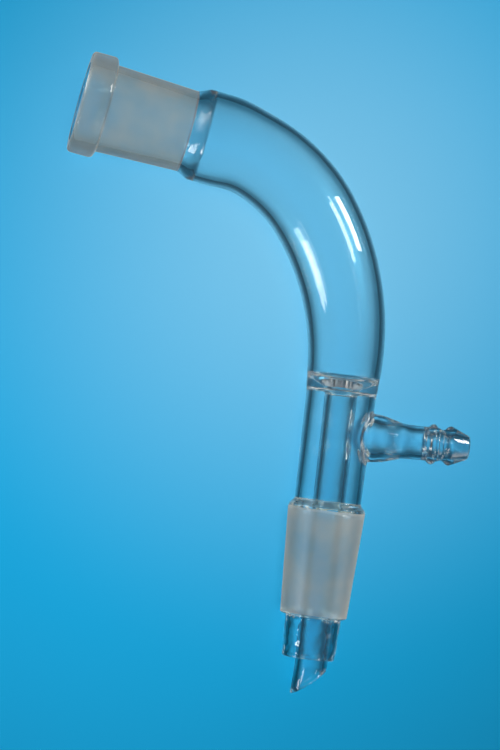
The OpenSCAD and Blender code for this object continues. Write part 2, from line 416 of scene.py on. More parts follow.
class Glass:
    """Sizes in millimetres, with what follows from them."""

    def __init__(self, sizes):
        for name in sizes.bl_rna.properties.keys():
            value = getattr(sizes, name)
            prop = sizes.bl_rna.properties[name]
            if prop.type == "FLOAT" and prop.unit == "LENGTH":
                setattr(self, name, value / MM)
            elif prop.type in {"FLOAT", "INT"}:
                setattr(self, name, value)
        self.joint_r = self.joint_d / 2
        self.taper_end_r = self.joint_r - self.joint_l / TAPER
        # Heights along the socket, from the end of the bend
        self.rim_z = self.flare_l + self.joint_l + 3
        self.collar_z = self.rim_z - self.collar_l
        self.ground_z = self.rim_z - self.joint_l
        self.step_z = self.flare_l + 1.4
        # Heights above the cone's big end
        self.foot_z = self.seal_z + 1.9
        self.wall_top_z = self.seal_z - 4.9
        self.throat_z = self.seal_z - 3.4
        self.chamber_r = self.bend_foot_d / 2 - self.wall
        self.low_r, self.top_r = self.jacket_low_d / 2, self.jacket_top_d / 2
        self.low_bore_r = self.low_r - 1.15
        self.top_bore_r = self.top_r - self.wall
        self.between_walls_r = self.top_r - 0.9
        self.dome_r = 1.0
        self.dome_z = self.touch_z(self.top_bore_r - self.dome_r, self.seal_wall, -self.dome_r)
        self.drip_r = self.drip_d / 2
        self.bore_r = self.drip_r - self.drip_wall
        # Patches of the walls that are cut out round the side arm's root: half their height,
        # their rows and half the sides they take up. Both have the same number of open edges.
        self.patch_out = (8.4, self.sides // 4, self.sides * 3 // 16)
        self.patch_in = (6.0, self.sides // 3, self.sides * 7 // 48)
        self.arm_sides = 2 * (2 * self.patch_out[2] + self.patch_out[1])
        self.arm_z = ARM_Z / MM
        self.reach = ARM_REACH / MM
        self.root_z = self.arm_z + self.top_r * math.tan(ARM_LEAN)
        # Two arcs from the seal to the socket: the slacker one turns through slack_turn
        self.slack_turn = math.radians(35.4)
        out = Vector((-math.sin(BEND_TURN), 0, math.cos(BEND_TURN)))
        self.top = SOCKET_RIM / MM - out * self.rim_z
        low = (math.cos(self.slack_turn), math.sin(self.slack_turn))
        far = (math.cos(BEND_TURN), math.sin(BEND_TURN))
        a, b = low[0] - 1, far[0] - low[0]
        c, d = low[1], far[1] - low[1]
        x, z = self.top.x, self.top.z - self.foot_z
        self.slack_r = (x * d - b * z) / (a * d - b * c)
        self.bend_r = (a * z - c * x) / (a * d - b * c)

    def touch_z(self, x, drop, r):
        """Height of a rounding's centre at x, where it touches a slope below the seal's floor."""
        slope_z = self.seal_z - (self.chamber_r - x) * math.tan(self.seal_slope) - drop
        return slope_z + r / math.cos(self.seal_slope)

    def out_r(self, z):
        """Radius of the jacket's outside at a height."""
        return mix(self.low_r, self.top_r, (z - SHOULDER_Z) / (self.wall_top_z - SHOULDER_Z))

    def in_r(self, z):
        """Radius of the jacket's bore at a height."""
        t = (z - BORE_SHOULDER_Z) / (self.dome_z - BORE_SHOULDER_Z)
        return mix(self.low_bore_r, self.top_bore_r, t)

    def bend_outer(self, turned):
        """Radius of the bend's outside after a turn."""
        narrow = max(1 - turned / FOOT_NARROWS, 0) ** 1.5
        swell = ease((turned - BEND_TURN) / TOP_SWELLS + 1)
        return (mix(self.bend_mid_d, self.bend_foot_d, narrow) / 2
                + (self.bend_top_d - self.bend_mid_d) / 2 * swell)

    def stretch(self, turned):
        """How far bending has drawn the bore to the outside of the bend."""
        return (self.drawn * ease(turned / FOOT_DRAWS)
                * ease((BEND_TURN - turned) / TOP_DRAWS))


def glass_sizes():
    return Glass(bpy.context.scene.adapter_sizes)


class ADAPTER_OT_jacket(bpy.types.Operator):
    """Spin the jacket, cone, skirt, ring seal and drip tube"""
    bl_idname = "adapter.jacket"
    bl_label = "Jacket and Drip Tube"

    fillet_r = 1.2
    corner_r = 1.6
    tip_lip = 0.3
    skirt_wall = 1.2

    def execute(self, context):
        g = glass_sizes()
        self.skirt_z = -g.joint_l - g.skirt_l
        self.tip_z = -g.drip_tip + g.drip_r * math.tan(g.drip_cut)
        slant = math.degrees(g.seal_slope)
        profile = self.outside(g) + self.inside(g, slant) + self.tube(g) + self.bowl(g, slant)
        draw("jacket", held(profile), on_z)
        spin_round(g.sides)
        self.slant_tip(g)
        done()
        return {"FINISHED"}

    def outside(self, g):
        """Down the jacket, the cone and the skirt."""
        half, rows, _ = g.patch_out
        top, low = g.root_z + half, g.root_z - half
        return (
            [(g.bend_foot_d / 2, g.foot_z)]
            + run(g.bend_foot_d / 2 - 0.25, g.seal_z - 1, g.top_r, g.wall_top_z, 6)
            + line(g.out_r(top), top, g.out_r(low), low, rows)
            + run(g.low_r, SHOULDER_Z, g.joint_r - 0.05, 0.4, 6)
            + [(g.joint_r, 0)]
            + line(g.joint_r - 0.015, -0.3, g.taper_end_r, 0.3 - g.joint_l, 8)
            + [(g.taper_end_r - 0.3, -g.joint_l), (g.skirt_top_d / 2, -g.joint_l - 0.3)]
            + arc(g.skirt_end_d / 2 - g.polish_r, self.skirt_z + g.polish_r, g.polish_r, 0, -90))

    def inside(self, g, slant):
        """Up the bore of the skirt, the cone and the jacket, and under the seal to the tube."""
        half, rows, _ = g.patch_in
        top, low = g.root_z + half, g.root_z - half
        skirt_r = g.skirt_end_d / 2 - self.skirt_wall
        fillet_x = g.drip_r + self.fillet_r
        return (
            arc(skirt_r + g.polish_r, self.skirt_z + g.polish_r, g.polish_r, -90, -180)
            + run(skirt_r + 0.2, -g.joint_l - 1.5, g.taper_end_r - g.wall, 2 - g.joint_l, 6)
            + run(g.joint_r - g.wall - 0.35, -1.5, g.low_bore_r, BORE_SHOULDER_Z, 6)
            + line(g.in_r(low), low, g.in_r(top), top, rows)
            + arc(g.top_bore_r - g.dome_r, g.dome_z, g.dome_r, 0, 90 + slant, 8)
            + arc(fillet_x, g.touch_z(fillet_x, g.seal_wall, -self.fillet_r), self.fillet_r,
                  90 + slant, 180))

    def tube(self, g):
        """Down the outside of the drip tube, round its end and up its bore."""
        lip, tip = self.tip_lip, self.tip_z
        return (
            [(g.drip_r, 12), (g.drip_r, -12), (g.drip_r, tip + 3.8)]
            + arc(g.drip_r - lip, tip + lip, lip, 0, -90, 4)
            + arc(g.bore_r + lip, tip + lip, lip, -90, -180, 4)
            + [(g.bore_r, tip + 3.8), (g.bore_r, -12), (g.bore_r, 12)]
            + [(g.bore_r, g.throat_z - 1.5)])

    def bowl(self, g, slant):
        """Out of the throat and up the seal's sloping floor to the bend's bore."""
        lip_x, corner_x = g.bore_r + self.fillet_r, g.chamber_r - self.corner_r
        return (
            arc(lip_x, g.touch_z(lip_x, 0, -self.fillet_r), self.fillet_r, 180, 90 + slant)
            + arc(corner_x, g.touch_z(corner_x, 0, self.corner_r), self.corner_r, slant - 90, 0)
            + [(g.chamber_r, g.foot_z)])

    def slant_tip(self, g):
        """Cuts the drip tube's end on a slant and leans the tube."""
        cut = g.drip_cut - g.drip_lean
        centre = (0, 0, self.tip_z * MM)
        reach = (g.drip_r + 0.5) * MM
        take("VERT", lambda p: p.xy.length < reach and p.z < (self.tip_z + 1) * MM)
        turn(-cut, centre, "Y")
        grow = 1 / math.cos(cut)
        bpy.ops.transform.resize(value=(grow, 1, grow), center_override=centre)
        take("VERT", lambda p: p.xy.length < reach and p.z < (g.throat_z - 1.3) * MM)
        turn(-g.drip_lean, (0, 0, g.throat_z * MM), "Y")


def turn(by, centre, axis):
    """Turns what is selected by the right-hand rule; without a window rotate runs backwards."""
    bpy.ops.transform.rotate(
        value=-by, orient_axis=axis, orient_type="GLOBAL", center_override=centre)


class ADAPTER_OT_bend(bpy.types.Operator):
    """Draw both skins of the bend, ring by ring, from the ring seal to the socket"""
    bl_idname = "adapter.bend"
    bl_label = "Bend"

    def execute(self, context):
        g = glass_sizes()
        start_clean()
        foot = Vector((0, 0, g.foot_z * MM))
        bpy.ops.mesh.primitive_circle_add(
            vertices=g.sides, radius=g.bend_foot_d / 2 * MM, location=(0, 0, 0))
        context.object.name = "bend"
        edit()
        bpy.ops.mesh.select_all(action="SELECT")
        bpy.ops.transform.translate(value=foot)
        self.rings(g, 0.0)
        bpy.ops.mesh.select_all(action="DESELECT")
        bpy.ops.mesh.primitive_circle_add(
            vertices=g.sides, radius=g.chamber_r * MM, location=foot)
        self.rings(g, g.wall)
        done()
        return {"FINISHED"}

    def rings(self, g, depth, slack_rings=20, tight_rings=26):
        """Draws the selected ring round both arcs, as the skin at a depth under the outside."""
        turned, radius, aside = 0.0, g.bend_foot_d / 2 - depth, 0.0
        slack_at = Vector((-g.slack_r, 0, g.foot_z))
        low = Vector((math.cos(g.slack_turn), 0, math.sin(g.slack_turn)))
        tight_at = slack_at + low * (g.slack_r - g.bend_r)
        arcs = [(slack_at, g.slack_r, g.slack_turn, slack_rings),
                (tight_at, g.bend_r, BEND_TURN, tight_rings)]
        for centre, r, last, rings in arcs:
            step = (last - turned) / rings
            for _ in range(rings):
                bpy.ops.mesh.spin(
                    steps=1, angle=step, center=centre * MM, axis=(0, 1, 0))
                turned += step
                new = g.bend_outer(turned) - depth
                away = Vector((math.cos(turned), 0, math.sin(turned)))
                bpy.ops.transform.resize(
                    value=(new / radius,) * 3, center_override=(centre + away * (r + aside)) * MM)
                radius = new
                if depth:
                    more = g.stretch(turned) - aside
                    bpy.ops.transform.translate(value=away * more * MM)
                    aside += more


class ADAPTER_OT_socket(bpy.types.Operator):
    """Spin the socket with its collar, ground taper and flare, on the end of the bend"""
    bl_idname = "adapter.socket"
    bl_label = "Socket"

    root_r = 0.3
    collar_back_r = 1.1
    collar_front_r = 1.0

    def execute(self, context):
        g = glass_sizes()
        flare_r, back_r = g.bend_top_d / 2, g.socket_rear_d / 2
        root_x = g.socket_front_d / 2 + self.root_r
        back_x, front_x = (g.collar_d / 2 - r for r in (self.collar_back_r, self.collar_front_r))
        outside = (
            [(flare_r, 0)]
            + run(flare_r, g.flare_l - 1.4, back_r, g.flare_l + 2.3, 12)
            + arc(root_x, g.collar_z - self.root_r, self.root_r, 180, 90, 3)
            + arc(back_x, g.collar_z + 1.3, self.collar_back_r, -60, 0, 5)
            + arc(front_x, g.rim_z - self.collar_front_r, self.collar_front_r, 0, 90))
        inside = (
            arc(g.joint_r + g.polish_r, g.rim_z - g.polish_r, g.polish_r, 90, 180)
            + line(g.joint_r - 0.03, g.rim_z - 1.1, g.taper_end_r, g.ground_z, 8)
            + run(g.taper_end_r, g.step_z, flare_r - g.wall, g.step_z - 4, 14)
            + [(flare_r - g.wall, 0)])
        draw("socket", held(outside + inside), on_z)
        spin_round(g.sides)
        bpy.ops.mesh.select_all(action="SELECT")
        turn(-BEND_TURN, (0, 0, 0), "Y")
        bpy.ops.transform.translate(value=g.top * MM)
        done()
        return {"FINISHED"}


class ADAPTER_OT_side_arm(bpy.types.Operator):
    """Spin the side arm with its two barbs and its nose"""
    bl_idname = "adapter.side_arm"
    bl_label = "Side Arm"

    barbs_l = 11.1
    lip = 0.4
    crest_r = 0.4
    # Radius of the bore at the nose, through the barbs, behind them, along the arm, at its
    # waist and at its root
    bore = (2.1, 2.5, 2.95, 3.5, 3.35, 3.75)

    def execute(self, context):
        g = glass_sizes()
        barb, arm_r = g.reach - self.barbs_l, g.arm_d / 2
        nose, narrow, behind, along, waist, root = self.bore
        outside = (
            run(5.85, 9.4, arm_r + 0.05, 18)
            + self.ridge(barb + 0.6, arm_r, g.barb_d1, 60)
            + run(arm_r, barb + 3.3, 3.7, barb + 4.6, 4)
            + self.ridge(barb + 4.8, 3.8, g.barb_d2, 20)
            + arc(narrow, g.reach - g.polish_r, g.polish_r, 20, 90, 4))
        inside = (
            arc(nose + self.lip, g.reach - self.lip, self.lip, 91, 180, 4)
            + [(narrow, g.reach - 5)]
            + run(narrow, barb + 0.6, behind, barb - 0.2, 4)
            + run(behind, 19.4, along, 15)
            + run(along, 14, waist, 12, 4)
            + run(waist, 11.4, root, 9, 4))
        draw("side_arm", held(outside + inside),
             lambda r, x: Vector((x * MM, 0, (g.arm_z + r) * MM)))
        axis_at = (0, 0, g.arm_z * MM)
        spin_round(g.arm_sides, axis_at, (1, 0, 0))
        bpy.ops.mesh.select_all(action="SELECT")
        turn(-ARM_LEAN, axis_at, "Y")
        done()
        return {"FINISHED"}

    def ridge(self, x, foot_r, d, last):
        """One ridge of the hose barb, whose crest turns as far as an angle."""
        return (run(foot_r, x, d / 2 - 0.1, x + 1.3, 5)
                + arc(d / 2 - self.crest_r, x + 1.7, self.crest_r, -20, last, 4))


class ADAPTER_OT_fuse(bpy.types.Operator):
    """Open the jacket for the side arm, fuse the glass into one piece and lay it on the frame"""
    bl_idname = "adapter.fuse"
    bl_label = "Fuse"

    # Edges of the arm's foot on the two walls: radius, and how far out each starts its drop
    foot_out = (6.9, 12.0)
    foot_in = (4.3, 5.0)

    def execute(self, context):
        g = glass_sizes()
        objects = bpy.data.objects
        glass = join(objects["jacket"], objects["bend"], objects["socket"])
        glass.name = PIECE
        edit()
        weld()
        self.cut(g, g.patch_out, g.between_walls_r, 2 * g.top_r)
        self.cut(g, g.patch_in, g.drip_r + 1, g.between_walls_r)
        done()
        guide = self.guide(g)
        self.foot_ring(g, "foot_out", *self.foot_out, guide, True)
        self.foot_ring(g, "foot_in", *self.foot_in, guide, False)
        glass = join(glass, objects["side_arm"], objects["foot_out"], objects["foot_in"])
        edit()
        # Patches between the holes in the two walls and the rings of the arm's foot
        self.bridge(self.root(g, 6.0, reach=9.0, outside=True), cuts=4, mark=glass)
        self.bridge(self.root(g, 4.0, reach=8.0, outside=False), cuts=3, mark=glass)
        done()
        self.seat(glass, guide)
        edit()
        # The foot itself, from those rings to the arm's outside and to its bore
        self.bridge(self.root(g, 5.0), cuts=10, smooth=True)
        self.bridge(self.root(g, 0.0, furthest=5.0), cuts=6, smooth=True)
        weld()
        bpy.ops.mesh.select_all(action="SELECT")
        bpy.ops.mesh.normals_make_consistent(inside=False)
        done()
        bpy.data.objects.remove(guide)
        glass.matrix_world = Matrix.Translation(CONE_AT) @ UPRIGHT.to_4x4()
        bpy.ops.object.transform_apply(location=True, rotation=True, scale=True)
        bpy.ops.object.shade_smooth()
        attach(glass, BODY)
        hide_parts(NODE)
        return {"FINISHED"}

    def cut(self, g, patch, nearest, furthest):
        """Cuts a patch out of the wall that lies between two distances from the cone's axis."""
        half, _, reach = patch
        wide = 2 * math.pi / g.sides * reach
        take("FACE", lambda p: (
            abs(math.atan2(p.y, p.x)) < wide and abs(p.z / MM - g.root_z) < half
            and nearest * MM < p.xy.length < furthest * MM))
        bpy.ops.mesh.delete(type="FACE")

    def root(self, g, nearest, furthest=15.0, reach=12.0, outside=None):
        """A test for places round the arm's root, by how far they are from the arm's axis and
        along it, and by whether they are on the outside of the jacket's wall."""
        def test(p):
            from_axis = math.hypot(p.y / MM, p.z / MM - g.root_z)
            on_outside = p.xy.length > g.between_walls_r * MM
            return (0 < p.x < reach * MM and nearest < from_axis < furthest
                    and outside in (None, on_outside))
        return test

    def guide(self, g):
        """Smooth copies of the jacket's two walls, to seat new glass on."""
        walls = (
            ("guide_out", [(g.low_r, SHOULDER_Z), (g.top_r, g.wall_top_z)]),
            ("guide_in", [(g.low_bore_r, BORE_SHOULDER_Z), (g.top_bore_r, g.dome_z)]))
        guides = []
        for name, points in walls:
            guides.append(draw(name, points, on_z))
            spin_round(GUIDE_SIDES)
            done()
        return join(*guides)

    def foot_ring(self, g, name, radius, x, guide, inward):
        """The edge of the arm's foot: a ring dropped along the arm on to one of the walls."""
        start_clean()
        bpy.ops.mesh.primitive_circle_add(
            vertices=g.arm_sides, radius=radius * MM, location=on_z(x, g.root_z),
            rotation=(0, math.pi / 2, 0))
        bpy.ops.object.transform_apply(location=True, rotation=True, scale=True)
        ring = bpy.context.object
        ring.name = name
        drop = ring.modifiers.new("Drop on the wall", "SHRINKWRAP")
        drop.target = guide
        drop.wrap_method = "PROJECT"
        drop.use_project_x = True
        drop.use_negative_direction = inward
        drop.use_positive_direction = not inward
        bpy.ops.object.modifier_apply(modifier=drop.name)

    def bridge(self, test, cuts, smooth=False, mark=None):
        """Bridges the two open loops that pass a test. The new rows join a group if marked."""
        take("EDGE", test)
        mesh = bpy.context.object.data
        before = len(bmesh.from_edit_mesh(mesh).verts)
        bpy.ops.mesh.bridge_edge_loops(
            type="SINGLE", number_cuts=cuts, interpolation="SURFACE" if smooth else "LINEAR",
            smoothness=1.0)
        if mark:
            bpy.ops.mesh.select_all(action="DESELECT")
            work = bmesh.from_edit_mesh(mesh)
            work.verts.ensure_lookup_table()
            for v in work.verts[before:]:
                v.select_set(True)
            bmesh.update_edit_mesh(mesh)
            group = mark.vertex_groups.get("wall") or mark.vertex_groups.new(name="wall")
            mark.vertex_groups.active = group
            bpy.ops.object.vertex_group_assign()

    def seat(self, glass, guide):
        """Lays the marked rows on the walls that the guide copies."""
        pick(glass)
        wrap = glass.modifiers.new("Seat on the wall", "SHRINKWRAP")
        wrap.target = guide
        wrap.vertex_group = "wall"
        bpy.ops.object.modifier_apply(modifier=wrap.name)
        glass.vertex_groups.clear()


# ---------------------------------------------------------------- glass finish

def feed(tree, socket, value):
    """Links another node's output into a socket, or gives the socket a plain value."""
    if isinstance(value, bpy.types.NodeSocket):
        tree.links.new(value, socket)
    else:
        socket.default_value = value


def add(tree, kind, place, *feeds, **values):
    """A node at a place on the sheet. Feeds go into its sockets in order, and values into its
    settings and its named sockets. Each is a plain value or another node's output."""
    node = tree.nodes.new(kind)
    node.location = place
    for name, value in values.items():
        if hasattr(node, name):
            setattr(node, name, value)
        else:
            feed(tree, node.inputs[name.replace("_", " ")], value)
    for socket, value in zip(node.inputs, feeds):
        feed(tree, socket, value)
    return node


def work_out(tree, place, operation, *feeds):
    """The value of a Math node."""
    return add(tree, "ShaderNodeMath", place, *feeds, operation=operation).outputs["Value"]


def noise(tree, place, vector, **values):
    """The value of a Noise texture."""
    return add(tree, "ShaderNodeTexNoise", place, Vector=vector, **values).outputs["Fac"]


def fit(tree, place, value, start=0.0, end=1.0, low=0.0, high=1.0, curve="LINEAR"):
    """A value fitted from one range to another, and held at its ends."""
    return add(
        tree, "ShaderNodeMapRange", place, interpolation_type=curve, Value=value,
        From_Min=start, From_Max=end, To_Min=low, To_Max=high).outputs["Result"]


def blend(tree, place, amount, first, second):
    """A blend of two colours, each a plain colour or another node's output."""
    first, second = (
        c if isinstance(c, bpy.types.NodeSocket) else (*c, 1) for c in (first, second))
    return add(tree, "ShaderNodeMix", place, data_type="RGBA", Factor=amount, A=first,
               B=second).outputs["Result"]


def mask(tree, place, name):
    """A value that the mesh carries at its vertices."""
    return add(tree, "ShaderNodeAttribute", place, attribute_name=name).outputs["Fac"]


def group(name, inputs, outputs):
    """An empty node group: its tree, what its inputs give, and its output node."""
    tree = bpy.data.node_groups.new(name, "ShaderNodeTree")
    for label, default in inputs:
        kind = "NodeSocketVector" if default is None else "NodeSocketFloat"
        socket = tree.interface.new_socket(name=label, in_out="INPUT", socket_type=kind)
        if default is not None:
            socket.default_value = default
    for label in outputs:
        tree.interface.new_socket(name=label, in_out="OUTPUT", socket_type="NodeSocketFloat")
    given = add(tree, "NodeGroupInput", (-800, 0)).outputs
    return tree, given, add(tree, "NodeGroupOutput", (600, 0))


def blown_ripples():
    """Ripples and smears of blown glass, with the lumps of glass that was sealed by hand."""
    tree, given, give = group(
        "blown_ripples", [("Vector", None), ("Slow", 90.0), ("Fine", 420.0)],
        ["Height", "Film", "Lumps"])
    where = given["Vector"]
    slow = noise(tree, (-500, 200), where, Scale=given["Slow"], Detail=1.0, Roughness=0.4)
    fine = noise(tree, (-500, -50), where, Scale=given["Fine"], Detail=2.0, Roughness=0.5)
    film = noise(tree, (-500, -300), where, Scale=260.0, Detail=4.0)
    lumps = noise(tree, (-500, -550), where, Scale=380.0, Detail=1.0)
    feed(tree, give.inputs["Height"], work_out(
        tree, (-200, 100), "MULTIPLY_ADD", fine, FINE_SHARE, slow))
    feed(tree, give.inputs["Film"], fit(tree, (-200, -300), film, *SMEARS))
    feed(tree, give.inputs["Lumps"], lumps)
    return tree


def ground_grain():
    """Satin grain of a ground joint, with the faint rings and worn patches of grinding."""
    tree, given, give = group(
        "ground_grain", [("Vector", None), ("Grain", 9000.0), ("Rings", 1500.0)],
        ["Height", "Wear"])
    where = given["Vector"]
    grain = noise(tree, (-500, 250), where, Scale=given["Grain"], Detail=3.0, Roughness=0.65)
    squash = add(tree, "ShaderNodeMapping", (-620, -50), Vector=where, Scale=RINGS_SQUASH)
    rings = noise(
        tree, (-420, -50), squash.outputs["Vector"], Scale=given["Rings"], Detail=2.0)
    patches = noise(tree, (-420, -300), where, Scale=110.0, Detail=2.0)
    feed(tree, give.inputs["Height"], work_out(
        tree, (-150, 150), "MULTIPLY_ADD", rings, RINGS_SHARE, grain))
    feed(tree, give.inputs["Wear"], fit(tree, (-150, -300), patches, *WORN))
    return tree


def end_band():
    """A fine band round a joint, at a place along its axis, that masks a painted line of light:
    a painted highlight on the cone and painted shade on the socket.
    """
    tree, given, give = group(
        "end_band", [("Vector", None), ("Place", 0.0), ("Width", 0.0005)], ["Band"])
    parts = add(tree, "ShaderNodeSeparateXYZ", (-600, 0), Vector=given["Vector"])
    off = work_out(tree, (-400, 0), "SUBTRACT", parts.outputs["Z"], given["Place"])
    away = work_out(tree, (-200, 0), "ABSOLUTE", off)
    feed(tree, give.inputs["Band"], fit(tree, (200, 0), away, 0.0, given["Width"], 1.0, 0.0))
    return tree


def glass_material(name, finish, passing):
    """Glass whose shadows let lamps through in a colour: its material and its shader."""
    m = bpy.data.materials.new(name)
    m.use_nodes = True
    tree = m.node_tree
    shader = tree.nodes["Principled BSDF"]
    shader.inputs["IOR"].default_value = finish.ior
    path = add(tree, "ShaderNodeLightPath", (100, 600)).outputs
    either = work_out(
        tree, (300, 500), "MAXIMUM", path["Is Shadow Ray"], path["Is Diffuse Ray"])
    passed = add(tree, "ShaderNodeBsdfTransparent", (300, 250), Color=(*passing, 1))
    both = add(tree, "ShaderNodeMixShader", (500, 300), either, shader.outputs["BSDF"],
               passed.outputs["BSDF"])
    out = tree.nodes["Material Output"]
    out.location = (700, 200)
    feed(tree, out.inputs["Surface"], both.outputs["Shader"])
    return m, tree, shader.inputs


def milky(shader, weight, spread):
    """Milky light along the edges of frosted glass, and how far it spreads inwards."""
    shader["Sheen Weight"].default_value = weight
    shader["Sheen Roughness"].default_value = spread
    shader["Sheen Tint"].default_value = (*CREAM, 1)


def clear_glass(name, finish, ripple, bloom):
    """Clear glass with the ripples, lumps and dulled throat of handwork."""
    m, tree, shader = glass_material(name, finish, CLEAR_SHADOW)
    milky(shader, bloom, WALL_BLOOM)
    shader["Base Color"].default_value = (*finish.tint, 1)
    shader["Transmission Weight"].default_value = 1.0
    where = add(tree, "ShaderNodeTexCoord", (-900, 0)).outputs["Object"]
    ripples = add(
        tree, "ShaderNodeGroup", (-650, 0), node_tree=ripple, Vector=where).outputs
    waves = add(tree, "ShaderNodeBump", (-300, -200), Strength=1.0, Distance=finish.waviness,
                Height=ripples["Height"])
    lump = work_out(
        tree, (-500, -400), "MULTIPLY", mask(tree, (-900, -400), "worked"), ripples["Lumps"])
    lumps = add(tree, "ShaderNodeBump", (-100, -300), Strength=1.0, Distance=finish.lumps,
                Height=lump, Normal=waves.outputs["Normal"])
    feed(tree, shader["Normal"], lumps.outputs["Normal"])
    film = fit(tree, (-300, 100), ripples["Film"], high=FILM_DULL)
    feed(tree, shader["Roughness"], work_out(
        tree, (-100, 200), "MULTIPLY_ADD", mask(tree, (-300, 350), "tooled"),
        finish.tooling, film))
    return m


def ground_glass(name, finish, grain, band, at, axis, place, edge):
    """Satin glass of a ground joint, with a painted line at its edge: a painted highlight on the
    cone and painted shade on the socket.
    """
    m, tree, shader = glass_material(name, finish, GROUND_SHADOW)
    milky(shader, finish.bloom, GROUND_BLOOM)
    shader["Transmission Weight"].default_value = finish.clearness
    where = add(tree, "ShaderNodeTexCoord", (-1100, 0)).outputs["Object"]
    turned = add(
        tree, "ShaderNodeMapping", (-900, 0), vector_type="TEXTURE", Vector=where,
        Location=at, Rotation=axis.to_track_quat("Z", "Y").to_euler()).outputs["Vector"]
    marks = add(tree, "ShaderNodeGroup", (-650, 0), node_tree=grain, Vector=turned).outputs
    rough = add(tree, "ShaderNodeBump", (-300, -250), Strength=0.1, Distance=GRAIN_DEPTH,
                Height=marks["Height"])
    feed(tree, shader["Normal"], rough.outputs["Normal"])
    feed(tree, shader["Roughness"], fit(
        tree, (-300, 0), marks["Wear"], low=finish.satin - 0.03, high=finish.satin + 0.06))
    shade = blend(tree, (-300, 250), marks["Wear"], finish.ground, finish.cloud)
    # The edge colour is painted into the base colour in a fine line: a painted highlight on the
    # cone, painted shade on the socket
    painted_line = add(tree, "ShaderNodeGroup", (-650, 300), node_tree=band, Vector=turned,
                Place=place).outputs["Band"]
    feed(tree, shader["Base Color"], blend(tree, (-100, 250), painted_line, shade, edge))
    return m


class ADAPTER_OT_finish(bpy.types.Operator):
    """Give the piece its clear glass and its ground faces"""
    bl_idname = "adapter.finish"
    bl_label = "Glass Finish"

    def execute(self, context):
        finish = context.scene.adapter_finish
        g = glass_sizes()
        glass = bpy.data.objects[PIECE]
        ripple, grain, band = blown_ripples(), ground_grain(), end_band()
        # Place of the painted shade line at the rear of the socket's ground face; the cone gets a
        # painted highlight line at its big end
        rear = (g.step_z - g.rim_z + 0.3) * MM
        for m in (
                clear_glass("clear_glass", finish, ripple, 0.0),
                ground_glass("ground_cone_glass", finish, grain, band, CONE_AT, CONE_AXIS,
                             CONE_HIGHLIGHT_AT, CONE_PAINTED_HIGHLIGHT),
                ground_glass("ground_socket_glass", finish, grain, band, SOCKET_AT,
                             SOCKET_AXIS, rear, SOCKET_PAINTED_SHADE),
                clear_glass("socket_wall", finish, ripple, finish.bloom)):
            glass.data.materials.append(m)
        self.mark(g, glass.data)
        pick(glass)
        edit()
        for index, test in enumerate((self.on_cone, self.on_socket, self.on_wall), 1):
            take("FACE", lambda p: test(g, p))
            glass.active_material_index = index
            bpy.ops.object.material_slot_assign()
        done()
        return {"FINISHED"}

    def mark(self, g, mesh):
        """Marks the glass that was melted and shaped by hand, and the throat that was tooled."""
        worked = mesh.attributes.new("worked", "FLOAT", "POINT").data
        tooled = mesh.attributes.new("tooled", "FLOAT", "POINT").data
        # Seams along the cone's axis: where they are, how far they reach and how strongly
        seams = (
            (0.3, 1.6, 1.8), (-g.joint_l - 0.4, 1.6, 1.0), (g.seal_z - 0.9, 4.0, 0.02),
            (-g.joint_l - g.skirt_l, 2.0, 1.0), (-g.drip_tip, 7.0, 1.0))
        root_x, root_r = 9, 5
        for v in mesh.vertices:
            p = upright(v.co) / MM
            from_root = math.hypot(p.x - root_x, math.hypot(p.y, p.z - g.arm_z) - root_r)
            worked[v.index].value = max(
                *(much * near(p.z, place, reach) for place, reach, much in seams),
                0.6 * near(from_root, 0, 4.5), 0.6 * near(p.x, g.reach - 4, 7.0))
            tooled[v.index].value = (
                near(p.z, g.throat_z + 1.5, 3.5) * near(p.xy.length, g.drip_r, 2.5))

    def along(self, p, at, axis):
        """How far a place is along an axis and how far from it, in millimetres."""
        way = (p - at) / MM
        far = way.dot(axis)
        return far, (way - axis * far).length

    def on_cone(self, g, p):
        """The ground face of the cone, which narrows the way its axis points."""
        down, r = self.along(p, CONE_AT, CONE_AXIS)
        return 0 < down < g.joint_l - 0.2 and abs(r - g.joint_r + down / TAPER) < 0.25

    def on_socket(self, g, p):
        """The ground face in the socket, which narrows behind its rim."""
        deep, r = self.along(p, SOCKET_AT, -SOCKET_AXIS)
        return (0.5 < deep < g.rim_z - g.step_z + 0.1
                and abs(r - g.joint_r + deep / TAPER) < 0.25)

    def on_wall(self, g, p):
        """The clear outside of the socket, through which its ground face shows."""
        deep, r = self.along(p, SOCKET_AT, -SOCKET_AXIS)
        return -0.1 < deep < g.rim_z - g.step_z - 0.5 and r > g.joint_r + 0.35


# ---------------------------------------------------------------- studio

